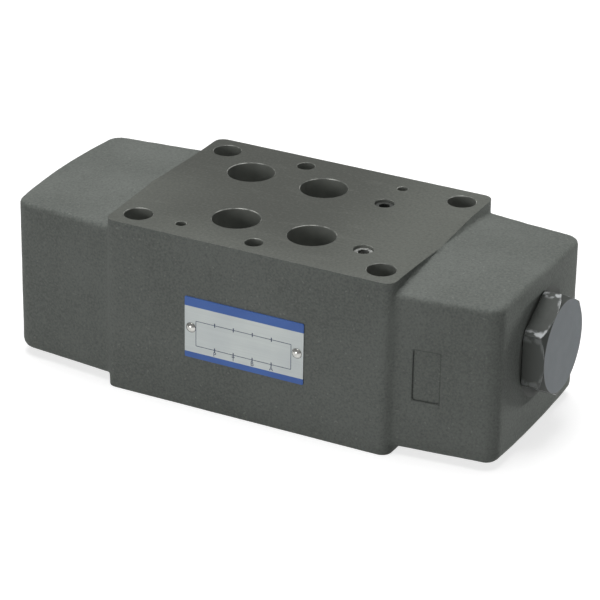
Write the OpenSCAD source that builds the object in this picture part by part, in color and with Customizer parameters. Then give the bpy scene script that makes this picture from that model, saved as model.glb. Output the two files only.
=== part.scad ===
// Hydraulic sandwich valve: a pilot operated check in line B, for the size 07 mounting pattern.
// The origin is the centre of the bolt rectangle on the base face.
// X runs along the valve bore to the hexagon plug, Y to the back and Z up to the top face.

/* [Mounting pattern] */
// Distance between the main bolts along the valve
bolt_pitch_x = 101.6; // [99:0.1:104]
// Distance between the main bolts across the valve
bolt_pitch_y = 69.9; // [68:0.1:72]
// Diameter of the four main bolt holes
bolt_hole_d = 11; // [10:0.1:12]
// Distance of each middle bolt from the centre line
mid_bolt_y = 36.55; // [35.5:0.05:38]
// Diameter of the two middle bolt holes
mid_bolt_d = 7; // [6:0.1:8]
// Diameter of the locating pin holes
pin_hole_d = 4; // [3:0.1:5]
// Depth of the locating pin holes
pin_hole_depth = 8; // [5:0.5:12]
// Chamfer at the mouth of the bolt and pin holes
hole_chamfer = 0.2; // [0.1:0.1:0.5]

/* [Ports] */
// Diameter of the four main ports
port_d = 18.5; // [16:0.1:19]
// Chamfer at the mouth of the main ports
port_chamfer = 0.25; // [0.1:0.05:0.5]
// Distance of the main ports from the centre line
port_y = 20.65; // [20.3:0.05:22]
// Place of the tank port T along the valve
tank_x = -32.5; // [-34:0.1:-31]
// Place of the pressure port P along the valve
pressure_x = -0.8; // [-2:0.1:0.4]
// Place of the line A port along the valve
line_a_x = -16.7; // [-18:0.1:-15.5]
// Place of the line B port along the valve
line_b_x = 15.1; // [14:0.1:16.5]
// Place of the pilot port X along the valve
pilot_x_x = 25.8; // [25:0.1:27]
// Distance of the pilot port X behind the centre line
pilot_x_y = 19.05; // [18.5:0.05:20.5]
// Place of the pilot port Y along the valve
pilot_y_x = 37.3; // [36:0.1:38.5]
// Distance of the pilot port Y in front of the centre line
pilot_y_y = 22.25; // [21.5:0.05:23]
// Diameter of the pilot ports
pilot_d = 6.3; // [5:0.1:7]
// Cord diameter of the O-rings around the main ports
port_seal_cord = 2.5; // [2.3:0.1:2.7]
// Inner diameter of the O-rings around the main ports
port_seal_inner_d = 21.5; // [21:0.1:22.5]
// Depth of the O-ring recesses around the main ports
port_seal_depth = 2; // [1.8:0.1:2.2]
// Cord diameter of the O-rings around the pilot ports
pilot_seal_cord = 1.9; // [1.8:0.1:2.1]
// Inner diameter of the O-rings around the pilot ports
pilot_seal_inner_d = 8; // [7.6:0.1:8.5]
// Depth of the O-ring recesses around the pilot ports
pilot_seal_depth = 1.5; // [1.3:0.1:1.7]

/* [Casting] */
// Length of the milled block in the middle
block_length = 120; // [117:0.5:124]
// Width of the block
block_width = 90; // [88:0.5:94]
// Height of the block between its two mounting faces
block_height = 70; // [68:0.5:74]
// Radius of the upright corners of the block
block_corner_r = 4; // [1:0.5:5]
// Distance from the centre to the middle of the left end face
left_reach = 106.3; // [102:0.1:110]
// Distance from the centre to the middle of the right end face
right_reach = 100.7; // [99:0.1:105]
// How far the left end face bulges
left_bow = 2.7; // [1:0.1:5]
// How far the right end face bulges
right_bow = 1.2; // [0.4:0.1:2]
// Width of the cast ends where they leave the block
end_root_w = 83.5; // [80:0.5:87]
// Width of the cast ends at their tips
end_tip_w = 74.5; // [70:0.5:79]
// How far the cast ends lie under the top face
end_drop = 4.8; // [3:0.1:7]
// How far the cast ends lie above the base face
end_rise = 2; // [1:0.1:5]
// Radius of the upright corners of the cast ends
end_corner_r = 5; // [2.5:0.5:6]
// Radius of the upper and lower edges of the cast ends
end_edge_r = 2.5; // [1:0.5:2.5]
// Width of the sunk panel on the right end
panel_w = 10.5; // [8:0.5:14]
// Height of the sunk panel
panel_h = 20.5; // [16:0.5:26]
// Depth of the sunk panel
panel_depth = 0.6; // [0.3:0.1:1]
// Radius of the panel's corners
panel_corner_r = 1; // [0.5:0.1:2]
// Place of the panel's middle along the valve
panel_x = 72.5; // [70:0.1:78]
// Height of the panel's middle above the base
panel_z = 34; // [32:0.5:38]

/* [Valve bore] */
// Height of the valve bore above the base
bore_z = 38; // [37:0.5:39.5]
// Diameter of the pilot piston's bore
piston_bore_d = 18; // [16:0.1:18.4]
// Length of the piston's land
piston_land = 14; // [12:0.1:15]
// Diameter of the piston's push rod
rod_d = 7; // [5:0.1:8]
// Diameter of the spigot on the piston's blind side
spigot_d = 9; // [8:0.1:11]
// Free travel of the piston before its rod meets the poppet
piston_travel = 4; // [2:0.1:6]
// Diameter of the chamber in front of the seat
chamber_d = 22; // [20:0.1:24]
// Diameter of the bore that holds the sleeve
sleeve_d = 26; // [25:0.1:27]
// Diameter of the annular chamber around the sleeve
annulus_d = 32; // [30:0.5:34]
// Length of the annular chamber
annulus_length = 14; // [11:0.1:16]
// Place of the seat edge along the valve
seat_x = 44; // [43:0.1:46]
// Length of the seat ahead of its edge
seat_land = 10; // [9:0.1:11]
// Diameter of the hole through the seat
seat_d = 13; // [12:0.1:14]
// Radial clearance of the pieces that slide
running_gap = 0.03; // [0.02:0.01:0.08]
// Radial clearance of the pieces that are fixed in their bores
fixed_gap = 0.03; // [0.02:0.01:0.08]
// Distance kept between pieces that stop against each other
stop_gap = 0.3; // [0.1:0.05:0.5]

/* [Passages] */
// Width of the cored windows between the bore and the ports A and B
window_w = 11; // [9:0.1:11.5]
// Depth of the windows' and the upper port B's floor under the bore's middle
window_dip = 6; // [5:0.1:7]
// Depth of the windows' upper edge under the top face
window_drop = 9.5; // [7:0.1:12]
// Height of the cored passage from the lower port B
passage_z = 12; // [11:0.1:12.5]
// Diameter of that passage
passage_d = 13; // [11:0.1:13.2]
// Diameter of its crossing to the lower port B
cross_d = 13.6; // [12:0.1:14]
// Diameter of its riser to the annular chamber
riser_d = 12; // [10:0.1:12.5]
// Distance of that passage in front of the centre line
passage_y = 6; // [4:0.1:7]
// Depth of the lower port B
lower_port_depth = 20; // [19:0.1:21]

/* [Check poppet and spring] */
// Diameter of the guide in the sleeve
guide_d = 21; // [20:0.1:22]
// Diameter of the poppet's flat nose
nose_d = 9; // [8:0.1:10]
// Lift of the poppet from closed to fully open
poppet_lift = 6; // [4:0.1:7]
// Axial clearance of the closed cone from its seat
seat_gap = 0.1; // [0.05:0.01:0.2]
// Thickness of the poppet behind the start of its cylinder
poppet_floor = 6; // [5:0.1:7.5]
// Diameter of the spring pocket in the poppet
spring_pocket_d = 15; // [13:0.1:16]
// Diameter of the spring wire
wire_d = 1.8; // [1.2:0.1:2]
// Number of turns of the spring
spring_turns = 9; // [7:1:11]
// Number of radial holes in the sleeve
sleeve_holes = 6; // [4:1:6]
// Diameter of the radial holes in the sleeve
sleeve_hole_d = 8; // [6:0.1:8.5]
// Diameter of the balance holes in the poppet
balance_d = 3; // [2:0.1:3.5]
// Diameter of the bore that joins them to the spring pocket
balance_bore_d = 4; // [3.6:0.1:6]

/* [End plug] */
// Width of the hexagon across its flats
hex_af = 36; // [35:0.5:41]
// Height of the plug's head with its collar
head_h = 9.1; // [8:0.1:12]
// Thickness of the round collar under the hexagon
collar_h = 0.4; // [0.3:0.1:2]
// Diameter of the threaded shank
thread_d = 30; // [29:0.1:31]
// Length of the threaded shank
shank_length = 13.5; // [12:0.1:16]
// Diameter of the spring pocket in the plug
plug_pocket_d = 16; // [14:0.1:17]
// Depth of the spring pocket in the plug
plug_pocket = 10; // [7:0.1:11]
// Cord diameter of the O-ring under the collar
plug_seal_cord = 2.2; // [2.1:0.1:2.4]
// Depth of the recess that holds it
plug_seal_depth = 1.8; // [1.6:0.1:2]
// Depth of the flat that is milled round the plug
spot_depth = 0.6; // [0.3:0.1:1]

/* [Sleeve seals] */
// Cord diameter of the O-ring around the sleeve
sleeve_seal_cord = 2.4; // [2.2:0.1:2.5]
// Depth of the groove that holds it
sleeve_groove_depth = 2; // [1.8:0.1:2.1]
// Width of the backup ring
backup_w = 1.4; // [1:0.1:1.6]

/* [Pilot plugs] */
// Diameter of the socket plugs in the pilot ports
pilot_plug_d = 7.7; // [7.2:0.1:8]
// Length of the socket plugs
pilot_plug_length = 7; // [5:0.1:8]
// Depth of the plugs under the top face
pilot_plug_drop = 1; // [0.5:0.1:2]
// Width of the plugs' hexagon sockets across flats
socket_af = 4; // [3:0.1:4.5]
// Depth of the sockets
socket_depth = 3.5; // [2.5:0.1:4]

/* [Nameplate] */
// Width of the nameplate
plate_w = 50; // [46:0.5:56]
// Height of the nameplate
plate_h = 25; // [20:0.5:30]
// Thickness of the nameplate
plate_t = 0.5; // [0.3:0.1:1]
// Radius of the nameplate's corners
plate_corner_r = 0.5; // [0.3:0.1:2]
// Height of the nameplate's middle above the base
plate_z = 33.7; // [31:0.1:36]
// Distance of the drive screws from the plate's ends
screw_inset = 2.7; // [2.3:0.1:4]
// Diameter of the drive screws' heads
screw_head_d = 4.2; // [3.4:0.1:4.6]
// Height of the drive screws' heads
screw_head_h = 1.2; // [0.8:0.1:1.6]
// Diameter of the drive screws' pins
screw_pin_d = 2; // [1.5:0.1:2.4]
// Length of the drive screws' pins
screw_pin_length = 6; // [4:0.5:8]

/* [Hidden] */

cast_grey = [0.29, 0.3, 0.28];
black_oxide = [0.1, 0.1, 0.11];
bright_steel = [0.7, 0.71, 0.72];
hard_steel = [0.5, 0.51, 0.53];
spring_steel = [0.42, 0.43, 0.46];
seal_black = [0.05, 0.05, 0.05];
ring_white = [0.9, 0.89, 0.85];
plate_silver = [0.74, 0.75, 0.74];

$fn = 64;
// Steps of each round edge, upright corner and bowed face of the cast ends
edge_steps = 6;
// Length by which the cast ends run into the block
end_root = 3;
// Length by which a cut runs past the face that it leaves
past = 1;
// Length of the valve bore past port A
bore_end_run = 2.5;
// Length of the piston's bore past the furthest place of its land
land_reserve = 4;
// Wall kept beside a cross hole
hole_wall = 1;
// How far the plug's collar stays inside the hexagon's flats
collar_inset = 0.4;
// How far the plug's round face stays inside the hexagon's flats
face_rim = 0.1;
// How far the milled flat reaches past the hexagon's corners
spot_rim = 0.4;
// How far the hexagon's bevels end outside its corners, and their angle
bevel_past = 0.5;
bevel_angle = 30;
// How far the bevel behind the hexagon starts inside its corners
back_bevel_rim = 0.8;
// Chamfer at the end of the plug's shank
shank_chamfer = 1;
// Edges of the piston and of the socket plugs
piston_edge = 0.6;
socket_plug_edge = 0.4;
// Pitch of the spring's end turns in wire diameters
close_pitch = 1.05;

// Ports, pilots and small holes as [x, y] places on the mounting faces
port_p = [pressure_x, port_y];
port_t = [tank_x, port_y];
port_a = [line_a_x, -port_y];
port_b = [line_b_x, -port_y];
pilot_x = [pilot_x_x, pilot_x_y];
pilot_y = [pilot_y_x, -pilot_y_y];
main_bolts = [for (sx = [-1, 1], sy = [-1, 1]) [sx * bolt_pitch_x / 2, sy * bolt_pitch_y / 2]];
mid_bolts = [[line_a_x, mid_bolt_y], [pressure_x, -mid_bolt_y]];
pin_holes = [[pilot_x_x, bolt_pitch_y / 2], [tank_x, -bolt_pitch_y / 2]];

// Stations along the valve bore, from the blind end to the plug
bore_end_x = line_a_x - port_d / 2 - bore_end_run;
land_mid_x = (line_a_x + line_b_x) / 2;
land_left_x = land_mid_x - piston_land / 2;
land_right_x = land_mid_x + piston_land / 2;
chamber_x = land_right_x + piston_travel + land_reserve;
sleeve_x = seat_x - seat_land;
plug_seat_x = right_reach - spot_depth;
plug_end_x = plug_seat_x - shank_length;
head_end_x = plug_seat_x + head_h;
thread_relief = 2;

// Poppet stations: the cone rises at 45 degrees from its nose
nose_x = seat_x - (seat_d - nose_d) / 2 + seat_gap;
poppet_d = guide_d - 2 * running_gap;
cone_end_x = nose_x + (poppet_d - nose_d) / 2;
poppet_back_x = plug_end_x - poppet_lift - stop_gap;
pocket_x = cone_end_x + poppet_floor;
balance_x = cone_end_x + balance_d / 2 + hole_wall;
sleeve_hole_x = seat_x + hole_wall + sleeve_hole_d / 2;
annulus_mid_x = seat_x + annulus_length / 2;
window_z = bore_z - window_dip;

// Spring: its outside clears the poppet's pocket
spring_r = spring_pocket_d / 2 - stop_gap - wire_d / 2;
spring_start_x = pocket_x + wire_d / 2 + fixed_gap;
spring_end_x = plug_end_x + plug_pocket - wire_d / 2 - fixed_gap;

// Width of an O-ring's section when it is pressed to a height: its area stays the same
function pressed_w(cord, h) = h + PI * (cord * cord - h * h) / (4 * h);

// Seals
port_seal_w = pressed_w(port_seal_cord, port_seal_depth);
pilot_seal_w = pressed_w(pilot_seal_cord, pilot_seal_depth);
plug_seal_w = pressed_w(plug_seal_cord, plug_seal_depth);
sleeve_seal_h = sleeve_groove_depth - fixed_gap;
sleeve_seal_w = pressed_w(sleeve_seal_cord, sleeve_seal_h);
plug_seal_r = thread_d / 2 + fixed_gap;
groove_floor_r = sleeve_d / 2 - sleeve_groove_depth;
groove_w = sleeve_seal_w + backup_w + stop_gap;
groove_x = sleeve_x + (seat_land - groove_w) / 2;

// Plug head
hex_r = hex_af / sqrt(3);
collar_r = hex_af / 2 - collar_inset;
face_r = hex_af / 2 - face_rim;
spot_r = hex_r + spot_rim;

// Nameplate on the front face
front_y = -block_width / 2;
screw_x = plate_w / 2 - screw_inset;

// Slope of a cast end's sides in plan
function side_slope(reach) = atan((end_root_w - end_tip_w) / 2 / (reach - block_length / 2));
end_slope = side_slope(right_reach);
panel_face_y = end_root_w / 2 - (panel_x - block_length / 2) * tan(end_slope);

// A rectangle with round corners, from its own squares and circles
module round_rect(w, h, r) {
    square([w - 2 * r, h], center = true);
    square([w, h - 2 * r], center = true);
    for (sx = [-1, 1], sy = [-1, 1])
        translate([sx * (w / 2 - r), sy * (h / 2 - r)])
            circle(r);
}

// A solid of revolution about the valve bore, from [station, radius] points
module turned(profile) {
    translate([0, 0, bore_z])
        rotate([0, 90, 0])
            rotate_extrude()
                polygon([for (p = profile) [p[1], p[0]]]);
}

// A plain cylinder about the valve bore
module turned_cylinder(from_x, to_x, d) {
    turned([[from_x, 0], [from_x, d / 2], [to_x, d / 2], [to_x, 0]]);
}

// The section of a pressed O-ring: flat where it is squeezed and round at its sides
module pressed_section(w, h) {
    square([w - h, h], center = true);
    for (s = [-1, 1])
        translate([s * (w - h) / 2, 0])
            circle(h / 2);
}

// A pressed O-ring in the XY plane, from its inner radius
module pressed_ring(inner_r, w, h) {
    rotate_extrude()
        translate([inner_r + w / 2, 0])
            pressed_section(w, h);
}

// A hole from the base to the top with a chamfer at both mouths
module through_hole(place, d, chamfer) {
    translate(place) {
        translate([0, 0, -past])
            cylinder(h = block_height + 2 * past, d = d);
        mouth(d, chamfer, block_height, 1);
        mouth(d, chamfer, 0, -1);
    }
}

// The chamfer of one hole at a mounting face that looks up or down
module mouth(d, chamfer, z, way) {
    translate([0, 0, z])
        mirror([0, 0, way > 0 ? 0 : 1])
            translate([0, 0, -chamfer])
                cylinder(h = chamfer + past, d1 = d, d2 = d + 2 * (chamfer + past));
}

// A blind hole into a mounting face that looks up or down
module blind_hole(place, d, depth, chamfer, z, way) {
    translate(place) {
        mouth(d, chamfer, z, way);
        translate([0, 0, way > 0 ? z - depth : z - past])
            cylinder(h = depth + past, d = d);
    }
}

// Plan of a cast end from its front root to its back root: [centre, outward direction] of each point.
// The point itself lies end_corner_r from its centre, less for the rings that round the edges.
function end_plan(reach, bow) =
    let (
        half_w = end_tip_w / 2,
        bow_r = (half_w * half_w + bow * bow) / (2 * bow),
        bow_x = reach - bow_r,
        slope = side_slope(reach),
        side = [sin(slope), -cos(slope)],
        along = [cos(slope), sin(slope)],
        root = [block_length / 2, -end_root_w / 2] - end_root * along - end_corner_r * side,
        off = side * (root - [bow_x, 0]),
        run = sqrt(pow(bow_r - end_corner_r, 2) - off * off),
        corner = [bow_x, 0] + off * side + run * along,
        turn = atan2(corner[1], corner[0] - bow_x),
        front = concat(
            [[root, side]],
            [for (i = [0:edge_steps]) let (a = slope - 90 + (turn - slope + 90) * i / edge_steps)
                [corner, [cos(a), sin(a)]]],
            [for (i = [1:edge_steps - 1]) let (a = turn * (1 - i / edge_steps), n = [cos(a), sin(a)])
                [[bow_x, 0] + (bow_r - end_corner_r) * n, n]]
        ),
        middle = [[[reach - end_corner_r, 0], [1, 0]]],
        back = [for (i = [len(front) - 1:-1:0]) [for (v = front[i]) [v[0], -v[1]]]]
    )
    concat(front, middle, back);

// One cast end: its plan is lofted up, drawn in at the lower and upper edges to round them
module cast_end(reach, bow) {
    plan = end_plan(reach, bow);
    count = len(plan);
    low = [for (i = [0:edge_steps]) let (a = 90 * i / edge_steps)
        [end_rise + end_edge_r * (1 - cos(a)), end_edge_r * (1 - sin(a))]];
    high = [for (i = [edge_steps:-1:0]) [block_height - end_drop - low[i][0] + end_rise, low[i][1]]];
    rings = concat(low, high);
    points = [for (ring = rings, p = plan)
        let (q = p[0] + (end_corner_r - ring[1]) * p[1]) [q[0], q[1], ring[0]]];
    walls = [for (k = [0:len(rings) - 2], i = [0:count - 1]) let (j = (i + 1) % count)
        [k * count + i, (k + 1) * count + i, (k + 1) * count + j, k * count + j]];
    floor_face = [for (i = [0:count - 1]) i];
    roof_face = [for (i = [count - 1:-1:0]) (len(rings) - 1) * count + i];
    polyhedron(points, concat(walls, [floor_face, roof_face]), convexity = 4);
}

// The stepped bore from the plug's flat to its blind end
module valve_bore() {
    seal_r = plug_seal_r + plug_seal_w + fixed_gap;
    thread_r = thread_d / 2 + fixed_gap;
    seal_x = plug_seat_x - plug_seal_depth;
    thread_x = plug_end_x - thread_relief;
    annulus_end_x = seat_x + annulus_length;
    turned([
        [bore_end_x, 0], [bore_end_x, piston_bore_d / 2],
        [chamber_x, piston_bore_d / 2], [chamber_x, chamber_d / 2],
        [sleeve_x, chamber_d / 2], [sleeve_x, sleeve_d / 2],
        [seat_x, sleeve_d / 2], [seat_x, annulus_d / 2],
        [annulus_end_x, annulus_d / 2], [annulus_end_x, sleeve_d / 2],
        [thread_x, sleeve_d / 2], [thread_x, thread_r],
        [seal_x, thread_r], [seal_x, seal_r],
        [plug_seat_x, seal_r], [plug_seat_x, spot_r],
        [right_reach + past, spot_r], [right_reach + past, 0]
    ]);
}

// A cored window that joins an upper port to the valve bore
module bore_window(place) {
    translate([place[0], place[1], window_z])
        linear_extrude(block_height - window_drop - window_z) {
            translate([-window_w / 2, 0])
                square([window_w, -place[1] - window_w / 2]);
            translate([0, -place[1] - window_w / 2])
                circle(d = window_w);
        }
}

// The cored passage from the lower port B to the annular chamber
module lower_passage() {
    translate([line_b_x, -port_y, passage_z])
        rotate([-90, 0, 0])
            cylinder(h = port_y - passage_y + passage_d / 2, d = cross_d);
    translate([line_b_x, -passage_y, passage_z])
        rotate([0, 90, 0])
            cylinder(h = annulus_mid_x - line_b_x + passage_d / 2, d = passage_d);
    translate([annulus_mid_x, -passage_y, passage_z])
        cylinder(h = bore_z - sleeve_d / 2 - passage_z, d = riser_d);
}

// A round recess for a seal in the base face
module seal_recess(place, inner_d, w, depth) {
    translate([place[0], place[1], -past])
        cylinder(h = depth + past, r = inner_d / 2 + w + fixed_gap);
}

// A pilot port: threaded for its plug at the top and open at the base
module pilot_port(place) {
    plug_depth = pilot_plug_drop + pilot_plug_length;
    through_hole(place, pilot_d, hole_chamfer);
    blind_hole(place, pilot_plug_d + 2 * fixed_gap, plug_depth, hole_chamfer / 2, block_height, 1);
}

// The sunk panel on the front of the right end, level with that face
module sunk_panel() {
    translate([panel_x, -panel_face_y, panel_z])
        rotate([90, 0, end_slope])
            translate([0, 0, -panel_depth])
                linear_extrude(panel_depth + past)
                    round_rect(panel_w, panel_h, panel_corner_r);
}

module valve_body() {
    color(cast_grey)
        difference() {
            union() {
                linear_extrude(block_height)
                    round_rect(block_length, block_width, block_corner_r);
                cast_end(right_reach, right_bow);
                mirror([1, 0, 0])
                    cast_end(left_reach, left_bow);
            }
            valve_bore();
            for (place = main_bolts)
                through_hole(place, bolt_hole_d, hole_chamfer);
            for (place = mid_bolts)
                through_hole(place, mid_bolt_d, hole_chamfer);
            for (place = pin_holes) {
                blind_hole(place, pin_hole_d, pin_hole_depth, hole_chamfer, block_height, 1);
                blind_hole(place, pin_hole_d, pin_hole_depth, hole_chamfer, 0, -1);
            }
            for (place = [port_p, port_t, port_a])
                through_hole(place, port_d, port_chamfer);
            blind_hole(port_b, port_d, block_height - window_z, port_chamfer, block_height, 1);
            blind_hole(port_b, port_d, lower_port_depth, port_chamfer, 0, -1);
            bore_window(port_a);
            bore_window(port_b);
            lower_passage();
            for (place = [port_p, port_t, port_a, port_b])
                seal_recess(place, port_seal_inner_d, port_seal_w, port_seal_depth);
            for (place = [pilot_x, pilot_y]) {
                pilot_port(place);
                seal_recess(place, pilot_seal_inner_d, pilot_seal_w, pilot_seal_depth);
            }
            for (s = [-1, 1])
                translate([s * screw_x, front_y - past, plate_z])
                    rotate([-90, 0, 0])
                        cylinder(h = screw_pin_length + past + stop_gap, d = screw_pin_d + 2 * fixed_gap);
            sunk_panel();
        }
}

module pilot_piston() {
    tip_x = nose_x - piston_travel;
    land_d = piston_bore_d - 2 * running_gap;
    edge = piston_edge;
    color(hard_steel)
        turned([
            [bore_end_x + stop_gap, 0], [bore_end_x + stop_gap, spigot_d / 2],
            [land_left_x, spigot_d / 2], [land_left_x, land_d / 2 - edge],
            [land_left_x + edge, land_d / 2], [land_right_x - edge, land_d / 2],
            [land_right_x, land_d / 2 - edge], [land_right_x, rod_d / 2],
            [tip_x - edge, rod_d / 2], [tip_x, rod_d / 2 - edge], [tip_x, 0]
        ]);
}

module check_sleeve() {
    outer_r = sleeve_d / 2 - fixed_gap;
    color(hard_steel)
        difference() {
            turned([
                [sleeve_x, seat_d / 2], [sleeve_x, outer_r],
                [groove_x, outer_r], [groove_x, groove_floor_r],
                [groove_x + groove_w, groove_floor_r], [groove_x + groove_w, outer_r],
                [plug_end_x, outer_r], [plug_end_x, guide_d / 2],
                [seat_x, guide_d / 2], [seat_x, seat_d / 2]
            ]);
            for (i = [0:sleeve_holes - 1])
                translate([sleeve_hole_x, 0, bore_z])
                    rotate([360 / sleeve_holes * i, 0, 0])
                        cylinder(h = sleeve_d, d = sleeve_hole_d);
        }
}

// A ring in the sleeve's groove, from its left end along the bore
module sleeve_ring(from_x, w) {
    translate([from_x + w / 2, 0, bore_z])
        rotate([0, 90, 0])
            rotate_extrude()
                translate([groove_floor_r + sleeve_seal_h / 2, 0])
                    children();
}

module sleeve_seal() {
    color(seal_black)
        sleeve_ring(groove_x + stop_gap / 2, sleeve_seal_w)
            rotate(90)
                pressed_section(sleeve_seal_w, sleeve_seal_h);
}

module sleeve_backup_ring() {
    color(ring_white)
        sleeve_ring(groove_x + groove_w - backup_w, backup_w)
            square([sleeve_seal_h, backup_w], center = true);
}

module check_poppet() {
    color(bright_steel)
        difference() {
            turned([
                [nose_x, 0], [nose_x, nose_d / 2], [cone_end_x, poppet_d / 2],
                [poppet_back_x, poppet_d / 2], [poppet_back_x, spring_pocket_d / 2],
                [pocket_x, spring_pocket_d / 2], [pocket_x, 0]
            ]);
            turned_cylinder(balance_x, pocket_x + past, balance_bore_d);
            translate([balance_x, 0, bore_z - guide_d])
                cylinder(h = 2 * guide_d, d = balance_d);
        }
}

// Place along the spring at a turn: the first and last turns lie close and the rest share the length
function spring_place(t) =
    let (
        close = wire_d * close_pitch,
        open = (spring_end_x - spring_start_x - 2 * close) / (spring_turns - 2)
    )
    t < 1 ? spring_start_x + t * close
    : t > spring_turns - 1 ? spring_end_x - (spring_turns - t) * close
    : spring_start_x + close + (t - 1) * open;

module poppet_spring() {
    turn_steps = 14;
    sides = 6;
    steps = spring_turns * turn_steps;
    rings = [for (i = [0:steps]) let (a = 360 * i / turn_steps, x = spring_place(i / turn_steps))
        for (j = [0:sides - 1]) let (b = 360 * j / sides, r = spring_r + wire_d / 2 * cos(b))
            [x + wire_d / 2 * sin(b), r * cos(a), r * sin(a)]];
    walls = [for (i = [0:steps - 1], j = [0:sides - 1]) let (k = (j + 1) % sides)
        [i * sides + j, (i + 1) * sides + j, (i + 1) * sides + k, i * sides + k]];
    first = [for (j = [0:sides - 1]) j];
    last = [for (j = [sides - 1:-1:0]) steps * sides + j];
    color(spring_steel)
        translate([0, 0, bore_z])
            polyhedron(rings, concat(walls, [first, last]), convexity = 10);
}

module end_plug() {
    shank_r = thread_d / 2 - fixed_gap;
    hex_x = plug_seat_x + collar_h;
    bevel_r = hex_r + bevel_past;
    bevel = (bevel_r - face_r) * tan(bevel_angle);
    back_bevel = (bevel_past + back_bevel_rim) * tan(bevel_angle);
    pocket_end_x = plug_end_x + plug_pocket;
    color(black_oxide)
        difference() {
            union() {
                turned([
                    [plug_end_x, 0], [plug_end_x, shank_r - shank_chamfer],
                    [plug_end_x + shank_chamfer, shank_r], [plug_seat_x, shank_r],
                    [plug_seat_x, collar_r], [hex_x, collar_r], [hex_x, 0]
                ]);
                intersection() {
                    translate([hex_x - past, 0, bore_z])
                        rotate([0, 90, 0])
                            cylinder(h = head_end_x - hex_x + 2 * past, r = hex_r, $fn = 6);
                    turned([
                        [hex_x, 0], [hex_x, hex_r - back_bevel_rim], [hex_x + back_bevel, bevel_r],
                        [head_end_x - bevel, bevel_r], [head_end_x, face_r], [head_end_x, 0]
                    ]);
                }
            }
            turned_cylinder(plug_end_x - past, pocket_end_x, plug_pocket_d);
        }
}

module plug_seal() {
    color(seal_black)
        translate([plug_seat_x - plug_seal_depth / 2, 0, bore_z])
            rotate([0, 90, 0])
                pressed_ring(plug_seal_r, plug_seal_w, plug_seal_depth);
}

// An O-ring of a main port, level with the base face
module port_seal(place) {
    color(seal_black)
        translate([place[0], place[1], port_seal_depth / 2])
            pressed_ring(port_seal_inner_d / 2, port_seal_w, port_seal_depth);
}

// An O-ring of a pilot port, level with the base face
module pilot_seal(place) {
    color(seal_black)
        translate([place[0], place[1], pilot_seal_depth / 2])
            pressed_ring(pilot_seal_inner_d / 2, pilot_seal_w, pilot_seal_depth);
}

module port_seal_p() {
    port_seal(port_p);
}

module port_seal_t() {
    port_seal(port_t);
}

module port_seal_a() {
    port_seal(port_a);
}

module port_seal_b() {
    port_seal(port_b);
}

module pilot_seal_x() {
    pilot_seal(pilot_x);
}

module pilot_seal_y() {
    pilot_seal(pilot_y);
}

// A socket plug that closes a pilot port at the top
module socket_plug(place) {
    top_z = block_height - pilot_plug_drop;
    edge = socket_plug_edge;
    translate([place[0], place[1], top_z])
        difference() {
            rotate_extrude()
                polygon([
                    [0, -pilot_plug_length], [pilot_plug_d / 2, -pilot_plug_length],
                    [pilot_plug_d / 2, -edge], [pilot_plug_d / 2 - edge, 0], [0, 0]
                ]);
            translate([0, 0, -socket_depth])
                cylinder(h = socket_depth + past, d = socket_af * 2 / sqrt(3), $fn = 6);
        }
}

module pilot_plug_x() {
    color(bright_steel)
        socket_plug(pilot_x);
}

module pilot_plug_y() {
    color(bright_steel)
        socket_plug(pilot_y);
}

module nameplate() {
    color(plate_silver)
        translate([0, front_y, plate_z])
            rotate([90, 0, 0])
                linear_extrude(plate_t)
                    difference() {
                        round_rect(plate_w, plate_h, plate_corner_r);
                        for (s = [-1, 1])
                            translate([s * screw_x, 0])
                                circle(d = screw_pin_d + 2 * fixed_gap);
                    }
}

// A drive screw with a domed head, seated on the nameplate
module drive_screw(x) {
    dome_r = (screw_head_d * screw_head_d / 4 + screw_head_h * screw_head_h) / (2 * screw_head_h);
    dome_arc = asin(screw_head_d / 2 / dome_r);
    dome_steps = 8;
    pin_end = -plate_t - screw_pin_length;
    color(bright_steel)
        translate([x, front_y - plate_t, plate_z])
            rotate([90, 0, 0])
                rotate_extrude()
                    polygon(concat(
                        [[0, pin_end], [screw_pin_d / 2, pin_end], [screw_pin_d / 2, 0]],
                        [for (i = [0:dome_steps]) let (a = dome_arc * (1 - i / dome_steps))
                            [dome_r * sin(a), screw_head_h - dome_r * (1 - cos(a))]]
                    ));
}

module nameplate_screw_left() {
    drive_screw(-screw_x);
}

module nameplate_screw_right() {
    drive_screw(screw_x);
}

valve_body();
pilot_piston();
check_sleeve();
sleeve_seal();
sleeve_backup_ring();
check_poppet();
poppet_spring();
end_plug();
plug_seal();
port_seal_p();
port_seal_t();
port_seal_a();
port_seal_b();
pilot_seal_x();
pilot_seal_y();
pilot_plug_x();
pilot_plug_y();
nameplate();
nameplate_screw_left();
nameplate_screw_right();
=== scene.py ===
"""Hydraulic sandwich valve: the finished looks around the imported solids, in their frame.

Sizes are written in millimetres, and MM turns them into the frame's metres.
"""
import math

import bmesh
import bpy
from mathutils import Matrix, Vector


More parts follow.
